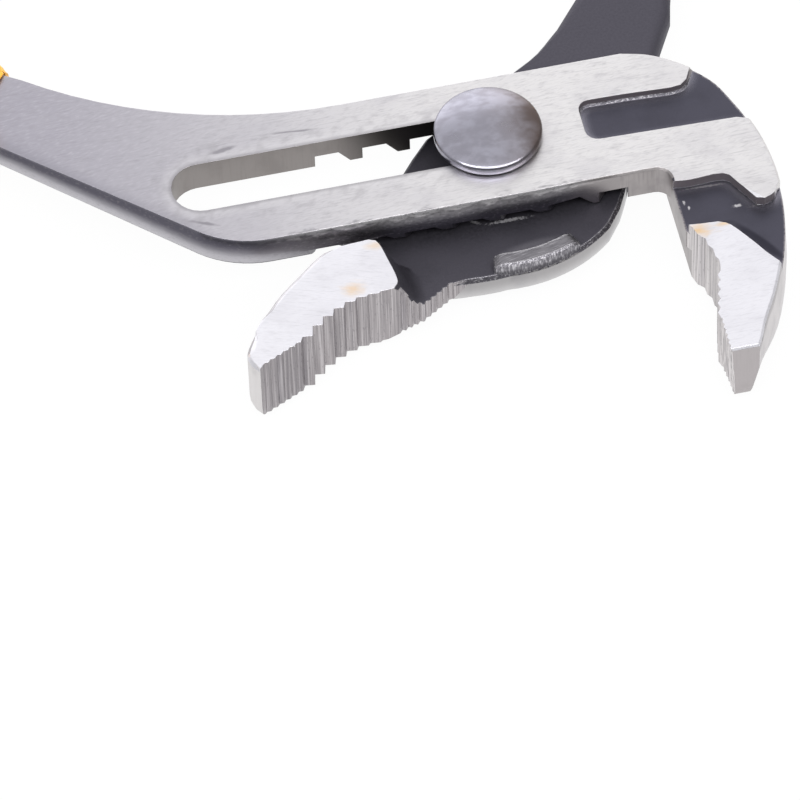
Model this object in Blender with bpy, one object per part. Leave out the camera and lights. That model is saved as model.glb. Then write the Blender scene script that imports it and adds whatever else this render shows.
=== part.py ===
"""Water pump pliers, 250 mm, lying open on their back, as separate pieces with a sliding pivot.

Sizes below are in millimetres and are turned to metres where a mesh is made. +Z is up, +X runs along
the adjusting slot towards the fixed jaw, and the pivot axis at rest stands on the origin with the
floor at z = 0.
"""

import math

import bmesh
import bpy
from mathutils import Vector

MM = 0.001

# Clearances
GAP = 0.3
SLOT_PLAY = 0.4
TONGUE_PLAY = 0.45

# Stack of plates, from the floor upwards
NUT_STANDS_OUT = 1.5
JAW_THICK = 12.1
SLOTTED_PLATE = 5.7
PIVOT_PLATE = 3.9
Z_JAW_REAR = NUT_STANDS_OUT
Z_FRONT = Z_JAW_REAR + JAW_THICK
Z_LAP_TOP = Z_FRONT - SLOTTED_PLATE
Z_LAP = Z_LAP_TOP - GAP
Z_DISC_REAR = Z_LAP - PIVOT_PLATE

# Slot, grooves and tongue: the settings are one pitch apart
PITCH = 7.5
SETTINGS = 7
TRAVEL = PITCH * (SETTINGS - 1)
SLOT_HALF = 4.6
TONGUE_IN = 20.0
TONGUE_WIDE = 2.4
TONGUE_TALL = 1.9
TONGUE_FLANK = 0.5
TONGUE_FROM = -100.0
TONGUE_TO = -64.0
TONGUE_END = 8.0
GROOVE_DEEP = TONGUE_TALL + 0.5
GROOVE_MORE_IN = 0.35
GROOVE_SLOPE = 1.8
GROOVE_FROM = -46.0
GROOVE_TO = 20.0

# Slotted lever
BODY_LOW = -12.4
BODY_HIGH = 11.3
ELBOW_ANGLE = 41.5
ELBOW_X = -42.8
ELBOW_R = 16.0
BACK_R = 76.0
BACK_X = -21.0
BACK_TURN = 38.0
THROAT_X = 25.6
THROAT_R = 2.3
FIXED_TIP_Y = -49.3
FIXED_TIP_WIDE = 5.3
FIXED_BITE_Y = -24.0
TIP_TAPER = 1.4
BITE_TAPER = 0.75
JAW_LEAN = 0.5
FORGED_OUT = 0.9
FORGED_R = 1.7
EDGE_BREAK = 0.3
JAW_SET_BACK = 0.7
RECESS_DEEP = 1.4
RECESS_2_DEEP = 2.0
RECESS_FOOT = 0.3

# Pivot lever
DISC_R = TONGUE_IN + TONGUE_WIDE + 0.4
REAR_POCKET_R = 30.0
BITE_X = -22.7
BITE_Y = -26.45
BITE_CURVE = 0.0425
STEP_TEETH = 7
STEP_PITCH = 1.9
STEP_LEFT = 0.4
STEP_RISE = 0.2

# Pivot bolt and nut
BOLT_R = SLOT_HALF - SLOT_PLAY
HOLE_R = BOLT_R + GAP
HEAD_R = 8.4
HEAD_RIM = 1.7
HEAD_DOME = 1.4
THREAD_R = 3.6
NUT_FLATS = 13.0
Z_HEAD = Z_FRONT + GAP
Z_NUT_TOP = Z_DISC_REAR - GAP

# Handles and grips
GRIP_THICK = 15.1
GRIP_MID = GRIP_THICK / 2
TANG_THICK = 4.6
TANG_HALF = 4.6
HANDLE_HALF = 6.4
PIVOT_HALF = 5.5
NECK_HALF = 7.6
PLATE_IN_GRIP = 14.0
GRIP_HALF = 9.6
GRIP_MOUTH = 8.7
GRIP_CORNER = 5.6
GRIP_SKIN = 1.4
GRIP_LIP = 0.7
MOUTH_CORNER = 3.2
SLOTTED_HANDLE = 126.0
SLOTTED_CURVE = 60.0
SLOTTED_ROOT = (-72.9, 22.7)
SLOTTED_HEADING = 142.0
PIVOT_HANDLE = 152.0
PIVOT_NECK = 22.0
PIVOT_STRAIGHT = 38.0
PIVOT_ROOT = (27.6, 26.4)
PIVOT_HEADING = 62.0
SLOTTED_GRIP_AT = 1.9
PIVOT_GRIP_AT = 39.0


# Plane curves

def clear_scene():
    for old in list(bpy.data.objects):
        bpy.data.objects.remove(old, do_unlink=True)


def ease(t):
    t = min(max(t, 0.0), 1.0)
    return t * t * (3 - 2 * t)


def arc(cx, cy, radius, start, end, steps):
    """Points round a circle, from one angle to another in degrees."""
    found = []
    for i in range(steps + 1):
        a = math.radians(start + (end - start) * i / steps)
        found.append((cx + radius * math.cos(a), cy + radius * math.sin(a)))
    return found


def through(points, steps=4):
    """A smooth open curve through the points, with a few steps in each span."""
    pts = [Vector(p) for p in points]
    pts = [2 * pts[0] - pts[1]] + pts + [2 * pts[-1] - pts[-2]]
    found = []
    for i in range(1, len(pts) - 2):
        a, b, c, d = pts[i - 1:i + 3]
        for k in range(steps):
            t = k / steps
            p = 2 * b + (c - a) * t + (2 * a - 5 * b + 4 * c - d) * t ** 2
            p = (p + (3 * b - a - 3 * c + d) * t ** 3) / 2
            found.append((p.x, p.y))
    found.append(tuple(points[-1]))
    return found


def serrate(start, end, count, deep):
    """Fine V teeth between two points; the roots lie to the right of the way from start to end."""
    a = Vector(start)
    step = (Vector(end) - a) / count
    side = Vector((step.y, -step.x)).normalized() * deep
    found = []
    for i in range(count):
        found.append(tuple(a + step * i))
        found.append(tuple(a + step * (i + 0.5) + side))
    found.append(tuple(end))
    return found


def outward(outline):
    """The outward miter at each corner of a closed counter-clockwise outline."""
    found = []
    count = len(outline)
    for i in range(count):
        before = (Vector(outline[i]) - Vector(outline[i - 1])).normalized()
        after = (Vector(outline[(i + 1) % count]) - Vector(outline[i])).normalized()
        one = Vector((before.y, -before.x))
        two = Vector((after.y, -after.x))
        found.append((one + two) / max(1 + one.dot(two), 0.5))
    return found


def path(root, heading, bends, step=4.0):
    """A handle's centre line as (x, y, heading, length so far), from bends of (length, turn)."""
    x, y = root
    found = [(x, y, heading, 0.0)]
    run = 0.0
    for length, turn in bends:
        count = max(2, round(length / step))
        for _ in range(count):
            middle = math.radians(heading + turn / count / 2)
            x += math.cos(middle) * length / count
            y += math.sin(middle) * length / count
            heading += turn / count
            run += length / count
            found.append((x, y, heading, run))
    return found


def at(line, s):
    """The place and heading at a length along a centre line."""
    for one, two in zip(line, line[1:]):
        if s <= two[3]:
            break
    t = (s - one[3]) / (two[3] - one[3])
    return tuple(p + (q - p) * t for p, q in zip(one[:3], two[:3]))


def beside(line, s, side):
    """The point at a distance to the left of the centre line."""
    x, y, heading = at(line, s)
    a = math.radians(heading + 90)
    return (x + side * math.cos(a), y + side * math.sin(a))


# Solids

def solid_from_rings(name, rings):
    """A closed solid through rings of 3-D points in millimetres, capped at both ends."""
    mesh = bpy.data.meshes.new(name)
    bm = bmesh.new()
    rows = [[bm.verts.new(Vector(p) * MM) for p in ring] for ring in rings]
    count = len(rows[0])
    for low, high in zip(rows, rows[1:]):
        for i in range(count):
            j = (i + 1) % count
            bm.faces.new((low[i], low[j], high[j], high[i]))
    bm.faces.new(list(reversed(rows[0])))
    bm.faces.new(rows[-1])
    bmesh.ops.recalc_face_normals(bm, faces=bm.faces)
    bm.to_mesh(mesh)
    bm.free()
    obj = bpy.data.objects.new(name, mesh)
    bpy.context.scene.collection.objects.link(obj)
    return obj


def prism(name, outline, low, high):
    return solid_from_rings(name, [[(x, y, z) for x, y in outline] for z in (low, high)])


def plate(name, outline, levels):
    """A solid through levels of (z, drawn), where drawn(x, y) is how far a corner is drawn in."""
    normals = outward(outline)
    rings = []
    for z, drawn in levels:
        ring = []
        for p, n in zip(outline, normals):
            q = Vector(p) - n * drawn(*p)
            ring.append((q.x, q.y, z))
        rings.append(ring)
    return solid_from_rings(name, rings)


def turned(name, profile, steps=48):
    """A solid of revolution about the pivot axis, from (radius, z) points that start and end on it."""
    mesh = bpy.data.meshes.new(name)
    bm = bmesh.new()
    rows = []
    for r, z in profile:
        if r == 0:
            rows.append([bm.verts.new(Vector((0, 0, z)) * MM)])
            continue
        ring = arc(0, 0, r, 0, 360, steps)[:-1]
        rows.append([bm.verts.new(Vector((x, y, z)) * MM) for x, y in ring])
    for low, high in zip(rows, rows[1:]):
        for i in range(steps):
            corners = [low[i % len(low)], low[(i + 1) % steps % len(low)]]
            corners += [high[(i + 1) % steps % len(high)], high[i % len(high)]]
            bm.faces.new(list(dict.fromkeys(corners)))
    bmesh.ops.recalc_face_normals(bm, faces=bm.faces)
    bm.to_mesh(mesh)
    bm.free()
    obj = bpy.data.objects.new(name, mesh)
    bpy.context.scene.collection.objects.link(obj)
    return obj


def ring_piece(name, section_at, start, end, steps, shifts=(0.0,)):
    """Pieces of a ring about the pivot axis, one at each shift in X; section_at(t) has (radius, z) points."""
    mesh = bpy.data.meshes.new(name)
    bm = bmesh.new()
    for shift in shifts:
        rows = []
        for i in range(steps + 1):
            a = math.radians(start + (end - start) * i / steps)
            points = [(r * math.cos(a) + shift, r * math.sin(a), z) for r, z in section_at(i / steps)]
            rows.append([bm.verts.new(Vector(p) * MM) for p in points])
        count = len(rows[0])
        for low, high in zip(rows, rows[1:]):
            for i in range(count):
                j = (i + 1) % count
                bm.faces.new((low[i], low[j], high[j], high[i]))
        bm.faces.new(list(reversed(rows[0])))
        bm.faces.new(rows[-1])
    bmesh.ops.recalc_face_normals(bm, faces=bm.faces)
    bm.to_mesh(mesh)
    bm.free()
    obj = bpy.data.objects.new(name, mesh)
    bpy.context.scene.collection.objects.link(obj)
    return obj


def boolean(target, tool, operation):
    tool.hide_render = True
    tool.display_type = "WIRE"
    modifier = target.modifiers.new(tool.name, "BOOLEAN")
    modifier.operation = operation
    modifier.solver = "EXACT"
    modifier.object = tool


def cut(target, tool):
    boolean(target, tool, "DIFFERENCE")


def join(target, tool):
    boolean(target, tool, "UNION")


def material(name, colour, metallic, roughness):
    made = bpy.data.materials.new(name)
    made.use_nodes = True
    shader = made.node_tree.nodes["Principled BSDF"]
    shader.inputs["Base Color"].default_value = (*colour, 1)
    shader.inputs["Metallic"].default_value = metallic
    shader.inputs["Roughness"].default_value = roughness
    return made


def finish(obj, made, parent=None):
    obj.data.materials.append(made)
    if parent:
        obj.parent = parent


# Slotted lever with the fixed jaw

def fixed_jaw_back():
    """The outside of the fixed jaw and the head, from the tip up to the top edge."""
    tip = THROAT_X + FIXED_TIP_WIDE
    lower = [(tip, FIXED_TIP_Y), (33.1, -45.4), (35.8, -40.5), (38.3, -34.8), (40.2, -29.1)]
    upper = [(41.2, -23.5), (41.6, -17), (41.2, -11.5), (40.3, -7), (38.7, -1.8), (36.2, 2.8)]
    return through(lower + upper + [(33.4, 6.1), (30.6, 8.4), (27.4, 10.2), (23.5, BODY_HIGH)], 3)


def slotted_outline(line):
    low, high = BODY_LOW, BODY_HIGH
    end = SLOTTED_GRIP_AT + PLATE_IN_GRIP
    turn = math.tan(math.radians(ELBOW_ANGLE / 2)) * ELBOW_R
    outline = arc(ELBOW_X + turn, low + ELBOW_R, ELBOW_R, 270 - ELBOW_ANGLE, 270, 8)
    outline += [(-24, low), (-12, low), (0, low), (6, low), (12, low), (18, low)]
    outline += arc(THROAT_X - THROAT_R, low - THROAT_R, THROAT_R, 90, 0, 5)
    outline += [(THROAT_X, FIXED_BITE_Y), (THROAT_X, FIXED_TIP_Y)]
    outline += fixed_jaw_back()
    outline += [(12, high), (0, high), (-11, high)]
    outline += arc(BACK_X, high + BACK_R, BACK_R, 270, 270 - BACK_TURN, 12)
    outline += [beside(line, s, -HANDLE_HALF) for s in (4, 9, end - 1.5)]
    outline += [beside(line, end, side) for side in (-HANDLE_HALF + 1.5, HANDLE_HALF - 1.5)]
    outline += [beside(line, s, HANDLE_HALF) for s in (end - 1.5, 7, 0)]
    return outline


def jaw_side(x, y, z):
    """The outside of the fixed jaw leans in from a ridge to the front, and its tip also to the back."""
    if x < THROAT_X + FIXED_TIP_WIDE - 0.1:
        return 0.0
    if z > Z_LAP_TOP:
        lean = JAW_LEAN * ease((-20 - y) / 10) * (1 - ease((-44 - y) / 5))
        return lean * (z - Z_LAP_TOP) / SLOTTED_PLATE
    return TIP_TAPER * ease((-37 - y) / 11) * (Z_LAP_TOP - z) / (Z_LAP_TOP - Z_JAW_REAR)


def slotted_levels():
    """Edges: swollen by forging, except where machined, in the grip, or where the jaw goes on below."""
    root = Vector(SLOTTED_ROOT)
    heading = math.radians(SLOTTED_HEADING)
    ahead = Vector((math.cos(heading), math.sin(heading)))

    def forged(x, y):
        if x > 20:
            return ease((y + 2) / 6)
        return ease((14 - x) / 8) if y < 0 else 1.0

    def edge(z, swell, slim):
        def drawn(x, y):
            along = ahead.dot(Vector((x, y)) - root)
            share = ease((along + 32) / 28)
            swollen = swell * FORGED_OUT * (1 - share) - slim * FORGED_R * share
            return jaw_side(x, y, z) - forged(x, y) * swollen
        return drawn

    def front(x, y):
        return jaw_side(x, y, Z_FRONT) + EDGE_BREAK * (1 - 0.6 * forged(x, y))

    shape = [(0.0, -0.55, 0.85), (0.09, 0.2, 0.42), (0.21, 0.68, 0.15), (0.42, 1.0, 0.0)]
    shape += [(0.63, 0.9, 0.0), (0.82, 0.55, 0.0), (0.94, 0.18, 0.02)]
    heights = [(Z_LAP_TOP + SLOTTED_PLATE * t, swell, slim) for t, swell, slim in shape]
    return [(z, edge(z, swell, slim)) for z, swell, slim in heights] + [(Z_FRONT, front)]


def fixed_jaw_block():
    """The fixed jaw behind the lap plane, set back a little from the throat wall of the plate."""
    back = [p for p in fixed_jaw_back() if p[1] < -4.5]
    side = THROAT_X + JAW_SET_BACK
    outline = [(side, -6.5), (side, FIXED_BITE_Y), (side, FIXED_TIP_Y)] + back + [(38.6, -3.6), (32, -4.6)]

    normals = outward(outline)
    rings = []
    rear = [(Z_JAW_REAR + z, share) for z, share in ((0.0, 1.0), (0.6, 0.42), (1.4, 0.1), (2.2, 0.0))]
    for z, share in rear + [(Z_LAP_TOP, 0.0), (Z_LAP_TOP + 2, 0.0)]:
        ring = []
        for (x, y), n in zip(outline, normals):
            lean = jaw_side(x, y, z)
            if y < FIXED_TIP_Y + 0.01:
                ring.append((x - lean, y + 0.8 * share, z))
                continue
            drawn = 1.1 * share + lean + 0.05 if x > THROAT_X + 4.2 else 0.0
            ring.append((x - n.x * drawn, y - n.y * drawn, z))
        rings.append(ring)
    return solid_from_rings("fixed_jaw_block", rings)


def fixed_bite():
    """Cutter for the fixed jaw: steps down to the middle of the pipe grip, steps out of it, fine tip."""
    edge = [(THROAT_X + 0.1, FIXED_BITE_Y), (26.35, -25.0), (26.85, -26.6), (27.75, -27.5)]
    edge += [(27.8, -28.8), (28.4, -29.7), (28.4, -31.2), (28.8, -31.9), (28.7, -33.3)]
    for i in range(5):
        x, y = 28.5 - 0.42 * i, -34.1 - 1.75 * i
        edge += [(x, y), (x - 0.62, y - 0.75)]
    edge += serrate((26.4, -42.8), (26.4, FIXED_TIP_Y - 0.6), 7, -0.28)
    outline = [(16, FIXED_BITE_Y), (16, -53), (26.4, -53)] + edge[::-1]
    rings = []
    for z in (-2, Z_FRONT + 3):
        lean = BITE_TAPER * (Z_FRONT - z) / JAW_THICK
        rings.append([(x + lean * ease((-38 - y) / 11) if x > THROAT_X else x, y, z) for x, y in outline])
    return solid_from_rings("fixed_bite", rings)


def slot_cutter():
    outline = arc(-TRAVEL, 0, SLOT_HALF, 90, 270, 14) + arc(0, 0, SLOT_HALF, -90, 90, 14)
    return prism("slot_cutter", outline, Z_LAP_TOP - 2, Z_FRONT + 2)


def groove_cutters():
    """One arc groove for each setting, straight on the loaded side; all but the first slope on the other."""
    inner = TONGUE_IN - TONGUE_PLAY - GROOVE_MORE_IN
    outer = TONGUE_IN + TONGUE_WIDE + TONGUE_PLAY
    low, high = Z_LAP_TOP - 0.8, Z_LAP_TOP + GROOVE_DEEP

    def cutter(name, slope, settings):
        spread = slope * (high - low) / GROOVE_DEEP
        sides = [(inner, low), (outer + spread, low), (outer, high), (inner, high)]
        return ring_piece(name, lambda t: sides, GROOVE_FROM, GROOVE_TO, 12, [-PITCH * k for k in settings])

    return [cutter("first_groove", 0.0, [0]), cutter("grooves", GROOVE_SLOPE, range(1, SETTINGS))]


def recess_cutter(name, outline, deep):
    """A pocket in the front with a small chamfer at the foot of its walls."""
    floor = Z_FRONT - deep
    levels = [(floor, lambda x, y: RECESS_FOOT), (floor + RECESS_FOOT, lambda x, y: 0.0)]
    return plate(name, outline, levels + [(Z_FRONT + 2, lambda x, y: 0.0)])


def head_recess():
    """The forged recess that runs out of the head's outer edge."""
    outline = arc(16.7, -2.7, 2.0, 180, 270, 4) + [(26, -4.95), (38, -5.3), (39.2, -5.7), (45, -8)]
    outline += [(45, 12), (35, 9), (33.3, 6), (32.3, 3.9)]
    outline += [(31.2, 3.0), (29.5, 2.8), (22, 3.2)] + arc(16.5, 1.5, 1.8, 90, 180, 4)
    return recess_cutter("head_recess", outline, RECESS_DEEP)


def jaw_recess():
    """The forged recess between the head and the ground face of the fixed jaw."""
    upper = through([(25, -15.3), (28.2, -15.7), (33.4, -15.6), (35.2, -17.9), (37.2, -21.4)], 3)
    upper += through([(38.5, -21.8), (40.2, -21), (41.5, -19), (45, -17)], 3)
    lower = through([(45, -43), (37.4, -33.9), (34.9, -29.9), (32.2, -25.8), (30.4, -24.7)], 3)
    outline = lower + [(27.6, -24.5), (24, -24.1)] + upper
    return recess_cutter("jaw_recess", outline, RECESS_2_DEEP)


def build_slotted_lever(line, made):
    lever = plate("slotted_lever", slotted_outline(line), slotted_levels())
    join(lever, fixed_jaw_block())
    join(lever, build_tang("slotted_tang", line, SLOTTED_GRIP_AT, (Z_LAP_TOP + Z_FRONT) / 2))
    cut(lever, slot_cutter())
    for groove in groove_cutters():
        cut(lever, groove)
    cut(lever, head_recess())
    cut(lever, jaw_recess())
    cut(lever, fixed_bite())
    finish(lever, made)


# Pivot lever with the moving jaw

def moving_jaw_back():
    """The outside of the moving jaw from its root to its tip."""
    root = [(-24.5, -12.6), (-27.2, -15.2), (-30.6, -17.3), (-34.4, -20.4)]
    return through(root + [(-38.4, -24.0), (-42.5, -29.3), (-44.6, -33.0), (-44.3, -35.2)], 3)


def pivot_outline(line):
    outline = [(-21.5, -26.9), (-15.4, -26.3), (-10.6, -22.5), (-8.3, -22.7), (-5.9, -22.85)]
    outline += [(-3.8, -22.85)] + arc(0, 0, DISC_R, 265, 312, 12)
    outline += through([(17.6, -13.7), (19.6, -9.6), (22.1, -3.0), (25.2, 4.6), (29.5, 13.8)], 3)
    halves = [(s, NECK_HALF + (PIVOT_HALF - NECK_HALF) * ease(s / 8))
              for s in (0, 4, 8, 12, 18, 25, 32, 40, 46, PIVOT_GRIP_AT + PLATE_IN_GRIP - 1.5)]
    end = PIVOT_GRIP_AT + PLATE_IN_GRIP
    outline += [beside(line, s, -half) for s, half in halves]
    outline += [beside(line, end, side) for side in (-PIVOT_HALF + 1.5, PIVOT_HALF - 1.5)]
    outline += [beside(line, s, half) for s, half in reversed(halves)]
    outline += through([(16.1, 23.8), (12.2, 19.6), (7.1, 16.3), (-0.5, 11.5), (-8.4, 6.6)], 3)
    outline += [(-11.4, 3.2), (-13.6, 0.4), (-18.6, -5.6), (-22, -9.8)]
    outline += moving_jaw_back()
    return outline + [(-43.2, -36.7), (-36.5, -33.8), (-30, -30), (-24, -27.2)]


def pivot_levels():
    """Edges: rounded by forging at the back, sharp at the disc and rounded on the handle in front."""

    def forged(x, y):
        if y < -21 and x < -9.5:
            return 0.35 if x < -43 or y > x * 0.55 - 13 else 0.0
        return 1.0

    def front(chamfer, rounding):
        def drawn(x, y):
            handle = ease((math.hypot(x, y) - 24) / 8) if y > 0 else 0.0
            return forged(x, y) * (chamfer * (1 - handle) + rounding * handle)
        return drawn

    rear = [(0.0, 1.0), (0.5, 0.5), (1.3, 0.15), (2.4, 0.0)]
    levels = [(Z_JAW_REAR + z, lambda x, y, k=k: forged(x, y) * FORGED_R * k) for z, k in rear]
    levels += [(Z_LAP - 1.6, front(0, 0)), (Z_LAP - 0.7, front(0, 0.4)), (Z_LAP - 0.2, front(0.36, 1.0))]
    return levels + [(Z_LAP, front(0.5, FORGED_R))]


def moving_jaw_block():
    """The moving jaw in front of the lap plane; its inner side slopes down to the joint."""
    back = [p for p in moving_jaw_back() if p[1] < -16.2]
    inner = [(-21.2, -26.8), (-19.5, -25.4), (-19.3, -23.6), (-19.8, -20.6), (-20.4, -17.4), (-21.0, -16.1)]
    inner = through(inner, 3)
    outline = inner + [(-22.2, -15.6), (-26.8, -15.9)] + back
    outline += [(-43.2, -36.7), (-36.5, -33.8), (-30, -30), (-24, -27.4)]
    normals = outward(outline)
    rings = []
    levels = [(Z_LAP - 2, 4.5, 0), (Z_LAP, 4.5, 0), (Z_LAP + 0.15, 3.9, 0), (Z_LAP + 0.5, 3.2, 0)]
    levels += [(Z_LAP + 1.3, 2.3, 0), (Z_LAP + 2.8, 1.4, 0)]
    levels += [(Z_FRONT - 0.8, 0.2, 0), (Z_FRONT - 0.2, 0, 0.3), (Z_FRONT, 0, 0.7)]
    for z, spread, edge in levels:
        ring = []
        for i, (p, n) in enumerate(zip(outline, normals)):
            away = spread * (1 - 0.6 * ease((p[1] + 19) / 3)) if i < len(inner) else 0.0
            drawn = 0.0 if p[1] < -26 and p[0] > -43.3 else edge * (1.5 if p[0] < -41 else 1)
            drawn = min(drawn, 0.3) if i < len(inner) + 2 else drawn
            ring.append((p[0] + away - n.x * drawn, p[1] - n.y * drawn, z))
        rings.append(ring)
    return solid_from_rings("moving_jaw_block", rings)


def moving_bite():
    """Cutter for the moving jaw: fine teeth in the throat, a plain strip, the pipe grip, a fine tip."""
    edge = serrate((-10.6, -22.4), (-15.7, -25.6), 5, 0.3)
    edge += serrate((-15.9, -25.65), (-19.7, -26.0), 4, 0.3)
    edge += [(-22.5, -26.15)]
    for i in range(STEP_TEETH):
        x = BITE_X - 0.2 - STEP_PITCH * i
        y = BITE_Y - BITE_CURVE * (x - BITE_X) ** 2
        edge += [(x, y), (x - STEP_PITCH + STEP_LEFT, y + STEP_RISE)]
    edge += serrate((-36.3, -32.9), (-42.9, -36.1), 6, 0.28)
    outline = edge + [(-43.6, -36.9), (-43.6, -50), (-10.6, -50)]
    return prism("moving_bite", outline[::-1], -2, Z_FRONT + 3)


def tongue():
    """The arc rib that drops into a groove and takes the load of the jaws."""
    low, high = Z_LAP - 1, Z_LAP + TONGUE_TALL
    inner, outer = TONGUE_IN, TONGUE_IN + TONGUE_WIDE

    def rounded(t):
        """The ends drop away over the last eighth of the rib."""
        drop = 0.75 * max(0.0, 1 - min(t, 1 - t) * TONGUE_END) ** 2
        foot = [(inner - TONGUE_FLANK, low), (outer + 0.2, low), (outer + 0.15, high - 0.35 - drop)]
        return foot + [(outer - 0.2, high - drop), (inner + 0.1, high - drop), (inner - TONGUE_FLANK, Z_LAP)]

    return ring_piece("tongue", rounded, TONGUE_FROM, TONGUE_TO, 24)


def rear_pocket():
    """The turned pocket in the back that takes the nut and leaves the disc thinner than the jaw."""
    deep = Z_DISC_REAR - Z_JAW_REAR
    profile = [(0, Z_JAW_REAR - 1), (REAR_POCKET_R + deep + 3.5, Z_JAW_REAR - 1)]
    return turned("rear_pocket", profile + [(REAR_POCKET_R, Z_DISC_REAR), (0, Z_DISC_REAR)])


def pivot_hole():
    return prism("pivot_hole", arc(0, 0, HOLE_R, 0, 360, 40)[:-1], -1, Z_LAP + 3)


def build_pivot_lever(line, made, parent):
    lever = plate("pivot_lever", pivot_outline(line), pivot_levels())
    join(lever, moving_jaw_block())
    join(lever, build_tang("pivot_tang", line, PIVOT_GRIP_AT, (Z_JAW_REAR + Z_LAP) / 2))
    join(lever, tongue())
    cut(lever, rear_pocket())
    cut(lever, pivot_hole())
    cut(lever, moving_bite())
    finish(lever, made, parent)


# Pivot bolt and nut

def build_pivot_bolt(made, parent):
    profile = [(0, 0), (THREAD_R - 0.5, 0), (THREAD_R, 0.5), (THREAD_R, Z_NUT_TOP + GAP)]
    profile += [(BOLT_R, Z_NUT_TOP + GAP), (BOLT_R, Z_HEAD), (HEAD_R - 0.3, Z_HEAD)]
    profile += [(HEAD_R, Z_HEAD + 0.3), (HEAD_R, Z_HEAD + HEAD_RIM - 0.8)]
    profile += [(HEAD_R - 0.12, Z_HEAD + HEAD_RIM - 0.4), (HEAD_R - 0.5, Z_HEAD + HEAD_RIM)]
    for i in range(1, 7):
        r = (HEAD_R - 0.5) * (1 - i / 7)
        profile.append((r, Z_HEAD + HEAD_RIM + HEAD_DOME * (1 - (r / (HEAD_R - 0.5)) ** 2)))
    bolt = turned("pivot_bolt", profile + [(0, Z_HEAD + HEAD_RIM + HEAD_DOME)], 56)
    finish(bolt, made, parent)


def build_pivot_nut(made, parent):
    corner = NUT_FLATS / math.sqrt(3)
    outline = arc(0, 0, corner, 0, 360, 6)[:-1]
    rings = [(0, 0.45), (0.35, 0), (Z_NUT_TOP - 0.35, 0), (Z_NUT_TOP, 0.45)]
    nut = plate("pivot_nut", outline, [(z, lambda x, y, k=k: k) for z, k in rings])
    bore = arc(0, 0, THREAD_R + GAP, 0, 360, 32)[:-1]
    cut(nut, prism("nut_bore", bore, -1, Z_NUT_TOP + 1))
    finish(nut, made, parent)


# Handles and grips

def slotted_line():
    """The slotted lever's handle bows out and comes back towards its end."""
    bends = ((SLOTTED_CURVE, 9.0), (SLOTTED_HANDLE - SLOTTED_CURVE, -8.0))
    return path(SLOTTED_ROOT, SLOTTED_HEADING, bends)


def pivot_line():
    """The pivot lever's handle turns in at its neck, runs straight and bows out."""
    rest = PIVOT_HANDLE - PIVOT_NECK - PIVOT_STRAIGHT
    return path(PIVOT_ROOT, PIVOT_HEADING, ((PIVOT_NECK, -14.0), (PIVOT_STRAIGHT, 0.0), (rest, 14.0)))


def section(line, s, half, low, high, low_corner, high_corner, points=7):
    """A rounded box across the centre line."""
    most = min(half, (high - low) / 2) * 0.98
    under = min(low_corner, most)
    over = min(high_corner, most)
    turns = ((half - under, low + under, under, -90), (half - over, high - over, over, 0))
    turns += ((over - half, high - over, over, 90), (under - half, low + under, under, 180))
    ring = []
    for across, up, corner, start in turns:
        for u, z in arc(across, up, corner, start, start + 90, points - 1):
            ring.append((*beside(line, s, -u), z))
    return ring


def tang_rings(line, begin, middle, more):
    """The steel inside a grip: it bends over to the middle of the tool's thickness."""
    end = line[-1][3] - 7.0 + more
    start = begin + 5.0 - more
    rings = []
    count = 22
    for i in range(count + 1):
        s = start + (end - start) * i / count
        z = middle + (GRIP_MID - middle) * ease((s - begin - 9) / 30)
        half = TANG_HALF + more
        if i == count:
            half -= 0.6
        thick = TANG_THICK / 2 + more
        rings.append(section(line, s, half, z - thick, z + thick, 1.2, 1.2, 3))
    return rings


def build_tang(name, line, begin, middle):
    return solid_from_rings(name, tang_rings(line, begin, middle, 0.0))


def grip_rings(line, begin, low, high):
    """Grip sections: a rounded mouth round the plate, a guard, a waist for the hand and a full end."""
    end = line[-1][3]
    rings = []
    stops = (0.0, 0.25, 0.55, 1.0, 1.6, 4, 8, 12, 17, 23, 29, 36, 46, 56, 66, 76, 86)
    length = end - begin
    tail = (4.5, 3.2, 2.1, 1.2, 0.5, 0.12, 0.0)
    places = [s for s in stops if s < length - 8] + [length - 8] + [length - t for t in tail]
    for s in places:
        full = ease((s - 3) / 26)
        half = GRIP_MOUTH + (GRIP_HALF - GRIP_MOUTH) * ease(s / 20)
        half -= 0.9 * math.exp(-((s - 24) / 11) ** 2)
        half += 0.9 * ease((s - length + 30) / 30)
        drawn = GRIP_LIP * (1 - ease(s / 1.6))
        left = length - s
        drawn = 4.5 - math.sqrt(max(4.5 ** 2 - (4.5 - left) ** 2, 0)) if left < 4.5 else drawn
        bottom = low * (1 - full)
        top = high + (GRIP_THICK - high) * full
        corner = GRIP_CORNER - drawn * 0.6
        front = corner - (GRIP_CORNER - MOUTH_CORNER) * (1 - full) if high > GRIP_MID * 1.5 else corner
        rings.append(section(line, begin + s, half - drawn, bottom + drawn, top - drawn, corner, front))
    return rings


def plate_pocket(name, line, begin, half, low, high):
    """Room in the mouth of a grip for the plate of its lever."""
    ends = (begin - 6, begin, begin + 5, begin + 10, begin + PLATE_IN_GRIP + GAP)
    outline = [beside(line, s, -half) for s in ends] + [beside(line, s, half) for s in reversed(ends)]
    levels = [(low - GAP, lambda x, y: 1.2), (low - GAP + 1.2, lambda x, y: 0.0)]
    return plate(name, outline, levels + [(high + GAP, lambda x, y: 0.0)])


def build_grip(name, line, begin, half, low, high, made, parent=None):
    """A grip that is flush with the floor or the front at its mouth and hugs the plate on the other side."""
    mouth_low, mouth_high = max(low - GRIP_SKIN, 0), min(high + GRIP_SKIN, GRIP_THICK)
    grip = solid_from_rings(name, grip_rings(line, begin, mouth_low, mouth_high))
    cut(grip, plate_pocket(name + "_plate_pocket", line, begin, half + GAP + 0.25, low, high))
    room = tang_rings(line, begin, (low + high) / 2, GAP)
    cut(grip, solid_from_rings(name + "_tang_pocket", room))
    finish(grip, made, parent)


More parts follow.
